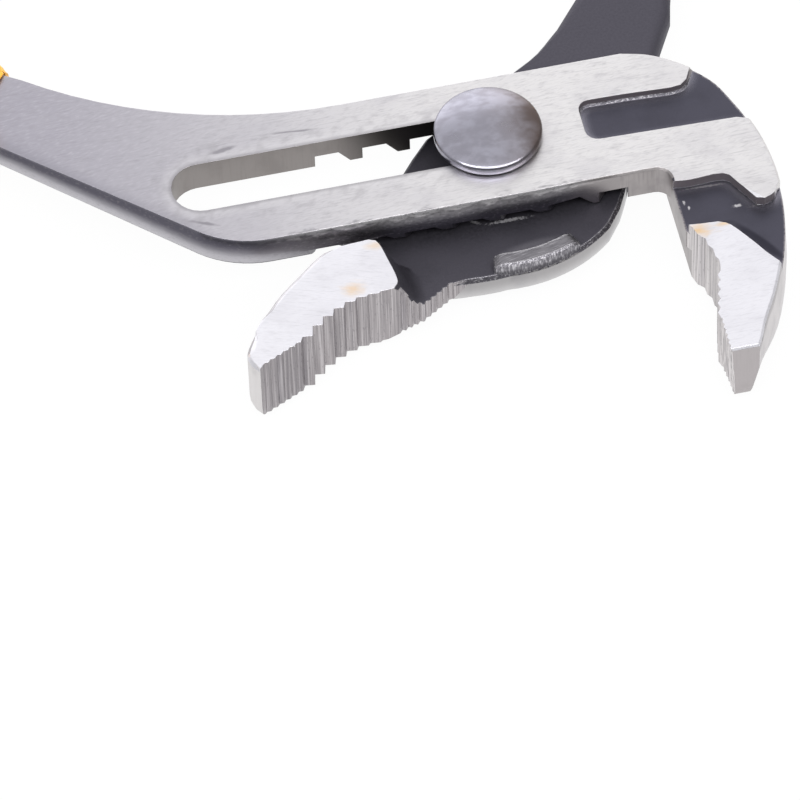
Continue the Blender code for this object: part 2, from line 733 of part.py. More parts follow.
def axis_empty(name, parent=None):
    """An empty on the pivot axis, which a joint turns or slides."""
    empty = bpy.data.objects.new(name, None)
    bpy.context.scene.collection.objects.link(empty)
    empty.parent = parent
    return empty


def main():
    clear_scene()
    ground = material("ground_steel", (0.62, 0.62, 0.63), 1.0, 0.34)
    black = material("black_steel", (0.055, 0.055, 0.065), 1.0, 0.42)
    bright = material("burnished_steel", (0.48, 0.47, 0.49), 1.0, 0.22)
    plated = material("zinc_plated_steel", (0.58, 0.58, 0.6), 1.0, 0.3)
    soft = material("orange_pvc", (0.83, 0.32, 0.03), 0.0, 0.5)
    other = material("orange_pvc_pivot_side", (0.83, 0.32, 0.03), 0.0, 0.5)
    slide = axis_empty("pivot_slide")
    hinge = axis_empty("jaw_hinge", slide)
    slotted = slotted_line()
    pivot = pivot_line()
    build_slotted_lever(slotted, ground)
    build_grip("slotted_lever_grip", slotted, SLOTTED_GRIP_AT, HANDLE_HALF, Z_LAP_TOP, Z_FRONT, soft)
    build_pivot_bolt(bright, slide)
    build_pivot_nut(plated, slide)
    build_pivot_lever(pivot, black, hinge)
    build_grip("pivot_lever_grip", pivot, PIVOT_GRIP_AT, PIVOT_HALF, Z_JAW_REAR, Z_LAP, other, hinge)


main()
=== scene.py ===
# %% [markdown]
# These are water pump pliers: two forged levers that cross on a bolt, and the bolt slides in a slot so
# that the jaws can be set wider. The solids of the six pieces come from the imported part, at their real
# size and place. They could be shown as they are, but they are flat triangles in plain colours. So this
# lesson welds them into smooth meshes, gives every surface the finish of the real tool, and sets up the
# light and the camera of the photograph.

# %% Load the solids and keep their box
import math

import bpy
from mathutils import Matrix, Vector


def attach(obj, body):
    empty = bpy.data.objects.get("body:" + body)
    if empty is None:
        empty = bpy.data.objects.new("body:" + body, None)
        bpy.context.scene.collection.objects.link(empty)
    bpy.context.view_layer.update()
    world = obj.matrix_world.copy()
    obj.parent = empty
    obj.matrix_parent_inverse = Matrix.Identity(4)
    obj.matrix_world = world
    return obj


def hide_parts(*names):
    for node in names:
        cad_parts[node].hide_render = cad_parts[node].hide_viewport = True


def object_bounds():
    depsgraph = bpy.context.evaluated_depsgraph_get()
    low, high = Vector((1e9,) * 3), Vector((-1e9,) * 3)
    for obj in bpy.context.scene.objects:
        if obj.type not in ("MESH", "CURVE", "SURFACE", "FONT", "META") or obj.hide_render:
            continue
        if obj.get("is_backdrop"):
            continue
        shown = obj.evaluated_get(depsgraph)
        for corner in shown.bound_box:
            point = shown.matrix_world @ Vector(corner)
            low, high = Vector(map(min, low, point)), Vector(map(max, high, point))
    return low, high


MM = 0.001
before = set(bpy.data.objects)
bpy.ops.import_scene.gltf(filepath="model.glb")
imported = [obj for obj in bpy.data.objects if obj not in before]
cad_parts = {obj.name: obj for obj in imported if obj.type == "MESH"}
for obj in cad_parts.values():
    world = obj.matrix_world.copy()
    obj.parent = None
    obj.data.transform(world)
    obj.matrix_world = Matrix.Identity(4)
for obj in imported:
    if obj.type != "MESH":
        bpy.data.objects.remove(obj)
cad_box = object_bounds()
scene = bpy.context.scene
scene.view_settings.view_transform = "Standard"
print("solids:", ", ".join(sorted(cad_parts)))

# %% [markdown]
# The photograph looks down on the tool from the side of the jaws, through a long lens, with a slight
# roll. A camera could be moved by eye until the picture fits, but a few plain values are easier to
# repeat: how far it is turned, tipped and rolled, how far away it stands, and which pixel the middle
# of the bolt falls on, at the height of the ground front faces.

# %% Camera at the photograph's view
PHOTO_PIXELS = 800
FOCAL_PIXELS = 7800
SENSOR_WIDE = 36
VIEW_TURN = math.radians(-10.55)
VIEW_DOWN = math.radians(52.5)
VIEW_ROLL = math.radians(2.15)
VIEW_DISTANCE = 1200 * MM
Z_FRONT = 13.6
BOLT_MIDDLE = Vector((0, 0, Z_FRONT * MM))
BOLT_PIXEL = (487.9, 135.0)


def photograph_camera():
    """A camera that sees the middle of the bolt at its pixel in the photograph."""
    across = Vector((math.cos(VIEW_TURN), math.sin(VIEW_TURN), 0))
    away = Vector((-math.sin(VIEW_TURN), math.cos(VIEW_TURN), 0))
    upright = Vector((0, 0, 1))
    forward = away * math.cos(VIEW_DOWN) - upright * math.sin(VIEW_DOWN)
    level_top = away * math.sin(VIEW_DOWN) + upright * math.cos(VIEW_DOWN)
    right = across * math.cos(VIEW_ROLL) - level_top * math.sin(VIEW_ROLL)
    top = level_top * math.cos(VIEW_ROLL) + across * math.sin(VIEW_ROLL)
    half = PHOTO_PIXELS / 2
    sideways = (BOLT_PIXEL[0] - half) / FOCAL_PIXELS
    upwards = (half - BOLT_PIXEL[1]) / FOCAL_PIXELS
    place = BOLT_MIDDLE - VIEW_DISTANCE * (right * sideways + top * upwards + forward)
    bpy.ops.object.camera_add()
    camera = bpy.context.object
    camera.name = "photograph_camera"
    camera.data.sensor_width = SENSOR_WIDE
    camera.data.lens = SENSOR_WIDE * FOCAL_PIXELS / PHOTO_PIXELS
    turned = Matrix((right, top, -forward)).transposed().to_4x4()
    camera.matrix_world = Matrix.Translation(place) @ turned
    scene.camera = camera
    return camera


camera = photograph_camera()
print("camera lens", round(camera.data.lens), "mm")

# %% [markdown]
# Materials are small node trees that read the object's own coordinates, so a pattern stays in place
# when a joint moves. They could be drawn by hand in the shader editor, but code shows every value. Two
# helpers keep it short. One turns a hex colour, as a painter would name it, into the linear values that
# the renderer works in. The other adds a node, sets what is a number and links what is a socket.

# %% Colours and nodes


def colour(hex_code):
    """An sRGB hex colour as linear RGBA."""
    channels = [int(hex_code[i:i + 2], 16) / 255 for i in (1, 3, 5)]
    linear = [c / 12.92 if c <= 0.04045 else ((c + 0.055) / 1.055) ** 2.4 for c in channels]
    return (*linear, 1.0)


def add(tree, kind, inputs=None, out=0, **settings):
    """Adds a node with its settings, sets or links its inputs, and returns one of its outputs."""
    node = tree.nodes.new("ShaderNode" + kind)
    for name, value in settings.items():
        setattr(node, name, value)
    for name, value in (inputs or {}).items():
        if isinstance(value, bpy.types.NodeSocket):
            tree.links.new(value, node.inputs[name])
        else:
            node.inputs[name].default_value = value
    return node.outputs[out]


print("the grey #808080 is", round(colour("#808080")[0], 3), "in linear values")

# %% [markdown]
# Every finish starts in the same way: a base colour, noise patterns of a real size, and thin coats of
# other colours where a pattern is high or low. An image could hold all that, but noise has no seams and
# stays sharp close up. A pattern's size is given in millimetres along three axes, so a scratch is just
# a lump of noise that is long one way and thin the other.

# %% Patterns and coats


def start_finish(name, metallic, roughness):
    """A new material with its shader, and the object coordinates that its patterns read."""
    made = bpy.data.materials.new(name)
    made.use_nodes = True
    tree = made.node_tree
    shader = tree.nodes["Principled BSDF"]
    shader.inputs["Metallic"].default_value = metallic
    shader.inputs["Roughness"].default_value = roughness
    coords = add(tree, "TexCoord", out="Object")
    return made, tree, shader, coords


def grain(tree, coords, size, turn=0.0, detail=3.0):
    """Noise whose lumps have a real size in millimetres along X, Y and Z, turned about Z."""
    drawn = add(tree, "Mapping", {
        "Vector": coords,
        "Rotation": (0, 0, math.radians(turn)),
        "Scale": [s * MM for s in size],
    }, vector_type="TEXTURE")
    return add(tree, "TexNoise", {"Vector": drawn, "Scale": 1.0, "Detail": detail}, "Fac")


def coats(tree, base, layers):
    """Lays colours over a base; each shows where its pattern goes from low to high, up to a share."""
    for pattern, low, high, share, hex_code in layers:
        limits = {0: pattern, 1: low, 2: high, 4: share}
        amount = add(tree, "MapRange", limits, interpolation_type="SMOOTHSTEP")
        base = add(tree, "Mix", {0: amount, 6: base, 7: colour(hex_code)}, 2, data_type="RGBA")
    return base


print("patterns are sized in millimetres of", MM, "m")

# %% [markdown]
# Real edges are never sharp. Grinding and wear round them, and they catch the light. They could be
# bevelled in the mesh, but the meshes have to stay the size of the solids, and a Bevel node rounds only
# the shading normal. Where that normal departs from the true one there is an edge, so the same node also
# finds the places where a skin wears off first.

# %% Rounded and worn edges
FLAT_LIKENESS = 0.985
WORN_LIKENESS = 0.86


def surface(tree, shader, base, height, strength, depth, edge):
    """Links a colour and a height pattern to the shader, over edges that look rounded by a radius."""
    rounded = add(tree, "Bevel", {"Radius": edge * MM}, samples=5)
    relief = {"Strength": strength, "Distance": depth * MM, "Height": height, "Normal": rounded}
    tree.links.new(add(tree, "Bump", relief), shader.inputs["Normal"])
    tree.links.new(base, shader.inputs["Base Color"])


def worn_edges(tree, radius):
    """1 along an edge or corner and 0 on a flat, where the rounded normal is like the true one."""
    rounded = add(tree, "Bevel", {"Radius": radius * MM}, samples=6)
    plain = add(tree, "NewGeometry", out="Normal")
    alike = add(tree, "VectorMath", {0: rounded, 1: plain}, "Value", operation="DOT_PRODUCT")
    limits = {0: alike, 1: FLAT_LIKENESS, 2: WORN_LIKENESS}
    return add(tree, "MapRange", limits, interpolation_type="SMOOTHSTEP")


worn_turn = math.degrees(math.acos(WORN_LIKENESS))
print("an edge is fully worn where its normal turns by", round(worn_turn), "degrees")

# %% [markdown]
# Some marks are single spots: a heat stain on a jaw, a chip in the black skin, a streak. They could be
# separate thin meshes, but a spot in the finish follows the surface and needs no gap. This helper gives
# the distance from a place, counted in half sizes, so a spot can be long, turned or round. Noise is added
# to that distance later, which makes the rim of the spot ragged.

# %% Single marks
RAGGED_RIM = 1.4


def mark(tree, coords, place, size, turn=0.0):
    """0 in the middle of a spot and 1 at its rim, from its place and half sizes in millimetres."""
    moved = add(tree, "Mapping", {
        "Vector": coords,
        "Location": [p * MM for p in place],
        "Rotation": (0, 0, math.radians(turn)),
        "Scale": [s * MM for s in size],
    }, vector_type="TEXTURE")
    return add(tree, "VectorMath", {0: moved}, "Value", operation="LENGTH")


print("noise moves the rim of a mark by up to", RAGGED_RIM, "half sizes")

# %% [markdown]
# The front faces were ground on a belt after forging. Grinding leaves short parallel scratches along
# the lever, a satin shine and some oily smudges. A picture of steel could be pasted on, but stretched
# noise gives the same scratches at any distance. They are drawn a few times coarser than the real ones,
# so that they show. The long lever turns greyer from its head towards the handle.

# %% Ground steel
HEAD_END = 8.0
HANDLE_END = -75.0


def ground_steel(name, light, handle_tone, turn, scratched):
    """Satin steel with scratches along the belt, and a share that tells how scratched it is."""
    made, tree, shader, coords = start_finish(name, 1.0, 0.36)
    along = add(tree, "SeparateXYZ", {0: coords}, "X")
    lines = grain(tree, coords, (3.2, 0.17, 0.3), turn)
    mottle = grain(tree, coords, (2.2, 0.9, 1.0), turn, 5.0)
    cloud = grain(tree, coords, (9, 6, 6), detail=4.0)
    strokes = grain(tree, coords, (1.2, 0.32, 0.9), turn + 12, 4.0)
    base = coats(tree, colour(light), [
        (along, HEAD_END * MM, HANDLE_END * MM, 1.0, handle_tone),
        (strokes, 0.46, 0.8, scratched, "#98959D"),
        (strokes, 0.5, 0.25, scratched, "#CECCD3"),
        (cloud, 0.42, 0.75, scratched, "#B4B1B9"),
        (mottle, 0.5, 0.8, scratched, "#9C999F"),
        (lines, 0.5, 0.8, scratched, "#89868C"),
    ])
    rough = add(tree, "MapRange", {0: lines, 1: 0.3, 2: 0.7, 3: 0.33, 4: 0.42})
    tree.links.new(rough, shader.inputs["Roughness"])
    surface(tree, shader, base, lines, 0.2, 0.02, 0.15)
    return made, tree, shader, coords, base, mottle


print("the steel turns grey over", HEAD_END - HANDLE_END, "mm")

# %% [markdown]
# The face of the slotted lever tells how the tool is used. The bolt's head has smudged it round the slot,
# the rim of the slot is rubbed dark, the lower edge is torn where the grooves come through, and a few
# streaks cross it. The marks could be painted by hand on an image, but a distance from the slot's middle
# line, or from an edge, puts each of them in its place.

# %% Face of the slotted lever
SLOT_LEFT = -45.0
SLOT_EDGE = 4.6
HEAD_RUBS = 7.0
HEAD_REACH = 12.0
LOWER_EDGE = -12.4
THROAT_SIDE = 16.0
SHANK_INWARDS = (0.684, 0.728, 0)
SHANK_EDGE = -39.5
GRIP_FILM = (-72.0, -77.0)
FACE_STREAKS = (
    ((-29.0, 7.6, Z_FRONT), (4.6, 0.28, 1), -5),
    ((-40.5, 6.4, Z_FRONT), (2.4, 0.5, 1), 12),
    ((-13.0, 12.4, Z_FRONT), (6.0, 0.6, 1), 2),
    ((-46.0, -7.0, Z_FRONT), (3.0, 0.4, 1), -24),
)


def slot_distance(tree, coords, along):
    """The distance from the slot's middle line, which ends under the bolt."""
    nearest = add(tree, "Clamp", {0: along, 1: SLOT_LEFT * MM, 2: 0.0})
    spine = add(tree, "CombineXYZ", {0: nearest, 2: Z_FRONT * MM})
    return add(tree, "VectorMath", {0: coords, 1: spine}, "Value", operation="DISTANCE")


def torn_edge(tree, along, across, mottle):
    """The distance up from the lower edge, made ragged, and growing fast past the throat's side."""
    torn = add(tree, "Math", {0: mottle, 1: -4 * MM, 2: across}, operation="MULTIPLY_ADD")
    past = add(tree, "Math", {0: along, 1: -THROAT_SIDE * MM}, operation="ADD")
    past = add(tree, "Math", {0: past, 1: 0.0}, operation="MAXIMUM")
    return add(tree, "Math", {0: past, 1: 3.0, 2: torn}, operation="MULTIPLY_ADD")


def ground_lever():
    """The long face: greyer towards the handle, smudged round the slot, torn along its lower edge."""
    made, tree, shader, coords, base, mottle = ground_steel(
        "belt_ground_steel", "#DFDDDE", "#A8A5AF", 0, 0.3)
    axes = add(tree, "SeparateXYZ", {0: coords}).node
    along, across = axes.outputs["X"], axes.outputs["Y"]
    far = slot_distance(tree, coords, along)
    torn = torn_edge(tree, along, across, mottle)
    smudge = grain(tree, coords, (2.6, 1.6, 2.0), 30, 5.0)
    limits = {0: far, 1: HEAD_REACH * MM, 2: HEAD_RUBS * MM}
    beside = add(tree, "MapRange", limits, interpolation_type="SMOOTHSTEP")
    dull = add(tree, "Math", {0: smudge, 1: beside}, operation="MULTIPLY")
    inwards = add(tree, "VectorMath", {0: coords, 1: SHANK_INWARDS}, "Value", operation="DOT_PRODUCT")
    base = coats(tree, base, [
        (far, (SLOT_EDGE + 2.6) * MM, (SLOT_EDGE + 0.4) * MM, 0.35, "#D9D7DA"),
        (far, (SLOT_EDGE + 0.8) * MM, SLOT_EDGE * MM, 0.5, "#7E7B80"),
        (dull, 0.45, 0.7, 0.34, "#98959A"),
        (torn, (LOWER_EDGE - 1.6) * MM, (LOWER_EDGE - 2.5) * MM, 0.5, "#77757A"),
        (inwards, (SHANK_EDGE + 3.0) * MM, SHANK_EDGE * MM, 0.5, "#8C8A94"),
        (along, GRIP_FILM[0] * MM, GRIP_FILM[1] * MM, 0.6, "#A48D88"),
    ])
    for place, size, turn in FACE_STREAKS:
        streak = mark(tree, coords, place, size, turn)
        ragged = add(tree, "Math", {0: mottle, 1: RAGGED_RIM, 2: streak}, operation="MULTIPLY_ADD")
        base = coats(tree, base, [(ragged, 1.8, 0.9, 0.65, "#7C7980")])
    tree.links.new(base, shader.inputs["Base Color"])
    return made


belt_ground = ground_lever()
print("made", belt_ground.name)

# %% [markdown]
# The faces of both jaws look freshly ground: nearly white and hardly scratched. A few tan stains, as heat
# leaves them on steel, lie near the teeth. They could be one tint over a whole face, but on the real jaws
# they are small clouds, so each one is a ragged mark with its own strength.

# %% Faces of the jaws
JAW_WHITE = "#E7E6EC"
FIXED_JAW_STAINS = (
    ((27.2, -25.6, Z_FRONT), (3.2, 1.5, 2), 0.75),
    ((31.0, -25.3, Z_FRONT), (1.7, 0.7, 2), 0.6),
)
MOVING_JAW_STAINS = (
    ((-26.4, -24.8, Z_FRONT), (2.5, 1.7, 2), 0.55),
    ((-21.6, -17.3, Z_FRONT), (1.8, 1.2, 2), 0.4),
)


def ground_jaw(name, turn, stains):
    """The face of a jaw, nearly white, with its heat stains."""
    made, tree, shader, coords, base, mottle = ground_steel(name, JAW_WHITE, JAW_WHITE, turn, 0.16)
    for place, size, share in stains:
        far = mark(tree, coords, place, size)
        ragged = add(tree, "Math", {0: mottle, 1: RAGGED_RIM, 2: far}, operation="MULTIPLY_ADD")
        base = coats(tree, base, [(ragged, 1.8, 0.7, share, "#E3BC80")])
    tree.links.new(base, shader.inputs["Base Color"])
    return made


fixed_jaw_ground = ground_jaw("fixed_jaw_ground_steel", 0, FIXED_JAW_STAINS)
moving_jaw_ground = ground_jaw("moving_jaw_ground_steel", -20, MOVING_JAW_STAINS)
print("made", fixed_jaw_ground.name, moving_jaw_ground.name)

# %% [markdown]
# The recesses, the disc and the handle of the black lever keep the black oxide of the hardened
# forging. It is a thin dark skin with an oily gloss, a little uneven, and it wears to grey on edges.
# Paint would hide the steel, so the skin is a dark metal here. Worn edges could be painted by hand, but
# the rounded normal of a Bevel node finds them all, and an Ambient Occlusion node finds the inner
# corners, which are given a painted shade.

# %% Black oxide
# Reach of the painted shade in inner corners, and in the recesses of a painted highlight.
CORNER_REACH = 2.0


def black_oxide(name, skin, bare, reach, shade, rough):
    """Skin colour, bare colour of worn edges, reach of the wear in millimetres, painted shade in corners.
    """
    made, tree, shader, coords = start_finish(name, 1.0, rough)
    cloud = grain(tree, coords, (6, 6, 6))
    grit = grain(tree, coords, (0.4, 0.4, 0.4), detail=2.0)
    corner = add(tree, "AmbientOcclusion", {"Distance": CORNER_REACH * MM}, "AO", samples=6)
    scuffs = add(tree, "MapRange", {0: grit, 1: 0.3, 2: 0.55})
    worn = add(tree, "Math", {0: worn_edges(tree, reach), 1: scuffs}, operation="MULTIPLY")
    base = coats(tree, colour(skin), [
        (cloud, 0.4, 0.75, 0.25, "#35343A"),
        # painted shade: inner corners, found by ambient occlusion, are darkened
        (corner, 0.8, 0.35, shade, "#17161A"),
        (worn, 0.1, 0.7, 0.9, bare),
    ])
    uneven = add(tree, "MapRange", {0: grit, 1: 0.3, 2: 0.7, 3: rough - 0.05, 4: rough + 0.08})
    tree.links.new(uneven, shader.inputs["Roughness"])
    surface(tree, shader, base, grit, 0.2, 0.03, 0.25)
    return made, tree, shader, coords, base


print("oil and dust reach", CORNER_REACH, "mm out of a corner")

# %% [markdown]
# In the recesses of the slotted lever the skin is chipped to bright steel in a few places, and a painted
# shade darkens the floor beside the jaw's face. The floor runs up into the walls in a small radius, which
# catches the light, so here the inner corners get a painted highlight and not a painted shade, and a thin
# painted highlight runs along the foot of the upper wall. The walls look dull and dusty. A full metal
# there would mirror only the dark floor, so their skin is mostly not metallic.

# %% Black oxide in the recesses
RECESS_FLOOR = 11.6
CHIPPED_RIM = 1.8
# Painted shade along the foot of the jaw's recess, beside the jaw's face.
RECESS_PAINTED_SHADE = (
    ((36.0, -28.4, RECESS_FLOOR), (6.2, 1.1, 1), -55),
    ((29.6, -23.8, RECESS_FLOOR), (3.6, 0.8, 1), 2),
)
RECESS_CHIPS_AND_HIGHLIGHT = (
    ((26.6, -18.4, RECESS_FLOOR), (0.25, 0.5, 1), 0),
    ((27.1, -19.5, RECESS_FLOOR), (0.25, 0.4, 1), 0),
    ((34.4, -20.8, RECESS_FLOOR), (0.9, 0.35, 1), 0),
    # a painted highlight along the foot of the upper wall
    ((30.4, -16.0, RECESS_FLOOR), (4.2, 0.22, 1), -2),
    ((38.0, -21.2, RECESS_FLOOR), (1.8, 0.3, 1), 10),
)


def chips_and_highlights(tree, coords, base, scuffs, hex_code):
    """Small ragged light places: chips where the skin is gone, and painted highlights."""
    flecks = grain(tree, coords, (0.3, 0.3, 0.3))
    for place, size, turn in scuffs:
        far = mark(tree, coords, place, size, turn)
        ragged = add(tree, "Math", {0: flecks, 1: CHIPPED_RIM, 2: far}, operation="MULTIPLY_ADD")
        base = coats(tree, base, [(ragged, 1.9, 1.3, 0.85, hex_code)])
    return base


def oxide_in_recess():
    """The floors of the recesses: a painted highlight at the foot of the walls, a painted shade by the
    jaw.
    """
    made, tree, shader, coords, base = black_oxide(
        "black_oxide_recess", "#51505B", "#B9B3B6", 0.6, 0.0, 0.4)
    foot = add(tree, "AmbientOcclusion", {"Distance": CORNER_REACH * MM}, "AO", samples=6)
    # painted highlight: the inner corners are made lighter
    base = coats(tree, base, [(foot, 0.92, 0.5, 0.85, "#A3A1AD")])
    # painted shade beside the jaw's face
    for place, size, turn in RECESS_PAINTED_SHADE:
        painted_shade = mark(tree, coords, place, size, turn)
        base = coats(tree, base, [(painted_shade, 1.1, 0.5, 0.7, "#2B2A33")])
    base = chips_and_highlights(tree, coords, base, RECESS_CHIPS_AND_HIGHLIGHT, "#CFCDD1")
    tree.links.new(base, shader.inputs["Base Color"])
    return made


def oxide_on_walls():
    """The walls of the recesses: the same skin, dull with dust, so it hardly mirrors the dark floor."""
    finish = black_oxide("black_oxide_wall", "#615B60", "#98969B", 0.3, 0.0, 0.6)
    made, shader = finish[0], finish[2]
    shader.inputs["Metallic"].default_value = 0.2
    return made


oxide_recess = oxide_in_recess()
oxide_wall = oxide_on_walls()
print("made", oxide_recess.name, oxide_wall.name)

# %% [markdown]
# The pivot lever has the same skin on its disc and its handle. On the disc there are two painted
# highlights just under the edge of the slotted lever, and a lighter patch beside the tongue, and on the
# handle the skin is a little different in tone. The edges that rub, and the top of the tongue, are worn
# almost bare, and their bright colour also serves as a painted highlight along those edges and at the
# foot of the recess walls. These could be new materials, but they are the same skin worn thin, so they
# start from the same function with lighter colours.

# %% Black oxide on the pivot lever
Z_LAP = 7.6
# Two painted highlights on the disc, just under the edge of the slotted lever.
DISC_HIGHLIGHTS = (
    ((0.4, -12.4, Z_LAP), (3.8, 0.4, 1), 0),
    ((-4.8, -11.6, Z_LAP), (1.1, 0.3, 1), -30),
)
LIGHT_PATCH_PLACE = (2.6, -18.5, Z_LAP)
LIGHT_PATCH_SIZE = (6.4, 1.5, 1)
HANDLE_FROM = 4.0
HANDLE_FULL = 13.0


def oxide_on_lever():
    """The disc and the handle of the pivot lever, and the backs of both levers."""
    made, tree, shader, coords, base = black_oxide(
        "black_oxide_lever", "#54525A", "#98969B", 0.4, 0.3, 0.6)
    across = add(tree, "SeparateXYZ", {0: coords}, "Y")
    light_patch = mark(tree, coords, LIGHT_PATCH_PLACE, LIGHT_PATCH_SIZE, 8)
    base = coats(tree, base, [
        (light_patch, 1.15, 0.35, 0.55, "#7F7D84"),
        (across, HANDLE_FROM * MM, HANDLE_FULL * MM, 0.9, "#57555E"),
    ])
    base = chips_and_highlights(tree, coords, base, DISC_HIGHLIGHTS, "#D8D6DA")
    tree.links.new(base, shader.inputs["Base Color"])
    return made


def rubbed_bare_and_highlight():
    """Edges that rub, with small flecks of skin left; also a painted highlight at the foot of walls."""
    made, tree, shader, coords, base = black_oxide(
        "rubbed_edge_and_highlight", "#66646B", "#BAB8BD", 0.4, 0.3, 0.4)
    flecks = grain(tree, coords, (0.35, 0.35, 0.35), detail=2.0)
    base = coats(tree, base, [(flecks, 0.5, 0.66, 0.6, "#C9C7CC")])
    tree.links.new(base, shader.inputs["Base Color"])
    return made


def rubbed_top_and_highlight():
    """The top of the tongue: worn to grey steel, streaked along its curve, painted highlight on its edges.
    """
    made, tree, shader, coords, base = black_oxide(
        "rubbed_tongue_and_highlight", "#858388", "#F2F0F4", 0.8, 0.3, 0.45)
    streaks = grain(tree, coords, (2.2, 0.22, 0.5), 12)
    base = coats(tree, base, [
        (streaks, 0.5, 0.68, 0.6, "#5E5C62"),
        (streaks, 0.45, 0.3, 0.6, "#B5B3B8"),
    ])
    tree.links.new(base, shader.inputs["Base Color"])
    return made


oxide_lever = oxide_on_lever()
rubbed = rubbed_bare_and_highlight()
tongue_top = rubbed_top_and_highlight()
print("made", oxide_lever.name, rubbed.name, tongue_top.name)

# %% [markdown]
# The edge of the slotted lever is as forged. On the handle's side it goes softly from a dark band under
# the ground face to bright at the back, a painted reflection: dark where the wall tilts up, and the
# white floor where it turns down. Nearer to the bolt it is the other way round: a torn grey band under
# the face, and below it a dark painted shade, where the wall looks at the black pivot lever. By the
# throat it was milled light. Three materials would meet in hard lines, so one finish does it all, by
# height and by length, with a ragged border.

# %% Forged edge of the slotted lever
SHANK_UNTIL = -42.0
SCALE_FROM = -26.0
MILLED_FROM = 8.0
MILLED_FULL = 15.0


def forged_edge():
    """Heights are counted from the ground face; the tears move them up and down."""
    made, tree, shader, coords = start_finish("forged_edge_steel", 1.0, 0.36)
    pits = grain(tree, coords, (0.6, 0.6, 0.3))
    tears = grain(tree, coords, (2.2, 2.2, 0.6), detail=4.0)
    axes = add(tree, "SeparateXYZ", {0: coords}).node
    along, height = axes.outputs["X"], axes.outputs["Z"]
    ragged = add(tree, "Math", {0: tears, 1: 2.0 * MM, 2: height}, operation="MULTIPLY_ADD")
    even = add(tree, "Math", {0: tears, 1: 0.5 * MM, 2: height}, operation="MULTIPLY_ADD")
    # Handle's side: a painted reflection, a dark band under the face and light below it.
    shank = coats(tree, colour("#BBB9BF"), [
        (even, (Z_FRONT - 3.2) * MM, (Z_FRONT - 0.7) * MM, 1.0, "#5C5A64"),
        (height, (Z_FRONT - 0.4) * MM, Z_FRONT * MM, 0.3, "#9A98A1"),
        (pits, 0.5, 0.75, 0.35, "#8C898C"),
    ])
    # Bolt's side: a torn grey band under the face, over a dark painted shade.
    bolt_side = coats(tree, colour("#65636A"), [
        (ragged, (Z_FRONT - 1.6) * MM, (Z_FRONT + 0.6) * MM, 0.85, "#8A888B"),
        (ragged, (Z_FRONT + 0.2) * MM, (Z_FRONT + 0.7) * MM, 0.9, "#CFCDD0"),
        (pits, 0.5, 0.7, 0.45, "#4B4A4F"),
        (pits, 0.44, 0.28, 0.45, "#A9A7AB"),
    ])
    limits = {0: along, 1: SHANK_UNTIL * MM, 2: SCALE_FROM * MM}
    share = add(tree, "MapRange", limits, interpolation_type="SMOOTHSTEP")
    base = add(tree, "Mix", {0: share, 6: shank, 7: bolt_side}, 2, data_type="RGBA")
    base = coats(tree, base, [(along, MILLED_FROM * MM, MILLED_FULL * MM, 0.9, "#A29D9D")])
    surface(tree, shader, base, pits, 0.3, 0.04, 0.15)
    return made


forged = forged_edge()
print("made", forged.name)

# %% [markdown]
# The throat and the outside of the jaws are machined or linished bare. They are plain grey, with cloudy
# patches and faint tool lines across the plate. They could share one finish, but each was made by
# another tool, so each has its own lightness and its own share of lines and clouds. The sloped edge of
# the moving jaw is a darker copy of the linished wall, a painted shade on faces that look to the back.

# %% Machined walls


def machined(name, light, dark, rough, lined, clouded):
    """Bare steel with tool lines across the plate and cloudy patches, each up to a share."""
    made, tree, shader, coords = start_finish(name, 1.0, rough)
    lines = grain(tree, coords, (0.35, 0.35, 7.0))
    cloud = grain(tree, coords, (3.5, 3.5, 5.0))
    base = coats(tree, colour(light), [
        (cloud, 0.45, 0.75, clouded, dark),
        (lines, 0.45, 0.75, lined, dark),
    ])
    surface(tree, shader, base, lines, 0.15, 0.02, 0.25)
    return made, tree, shader, coords, base


throat_wall = machined("machined_throat", "#A8A3A3", "#7F7B7D", 0.38, 0.4, 0.5)[0]
jaw_wall = machined("linished_jaw_wall", "#DBD8D8", "#B9B6B8", 0.34, 0.2, 0.5)[0]
# painted shade: the darker copy for the sloped edge that looks to the back
jaw_edge = machined("linished_jaw_edge", "#BDBABE", "#A5A2A6", 0.3, 0.2, 0.5)[0]
tip_cut = machined("sawn_jaw_tip", "#BCB7B8", "#A9A4A4", 0.5, 0.2, 0.4)[0]
print("made", throat_wall.name, jaw_wall.name, jaw_edge.name, tip_cut.name)

# %% [markdown]
# Three more of these walls change from place to place. The slot was milled, and its wall turns darker
# towards the bolt. The outside of the fixed jaw has a painted shade in a strip under the ground face,
# and two dark specks. The rim of the disc is darker at its front and painted lighter towards its back,
# a painted reflection of the white floor. Each could be cut in two faces, but a gradient on the
# coordinates has no hard border.

# %% Milled slot, outside of the fixed jaw and rim of the disc
DARKER_FROM = -26.0
DARKER_FULL = -14.0
JAW_SPECKS = ((33.5, -45.3, 12.9), (31.8, -47.5, 12.6))
SPECK_SIZE = (1.0, 0.5, 0.5)


def milled_slot():
    """The wall of the slot, darker where the bolt stands."""
    made, tree, shader, coords, base = machined("milled_slot", "#96918F", "#7B7674", 0.42, 0.15, 0.3)
    along = add(tree, "SeparateXYZ", {0: coords}, "X")
    base = coats(tree, base, [(along, DARKER_FROM * MM, DARKER_FULL * MM, 0.9, "#3A3634")])
    tree.links.new(base, shader.inputs["Base Color"])
    return made


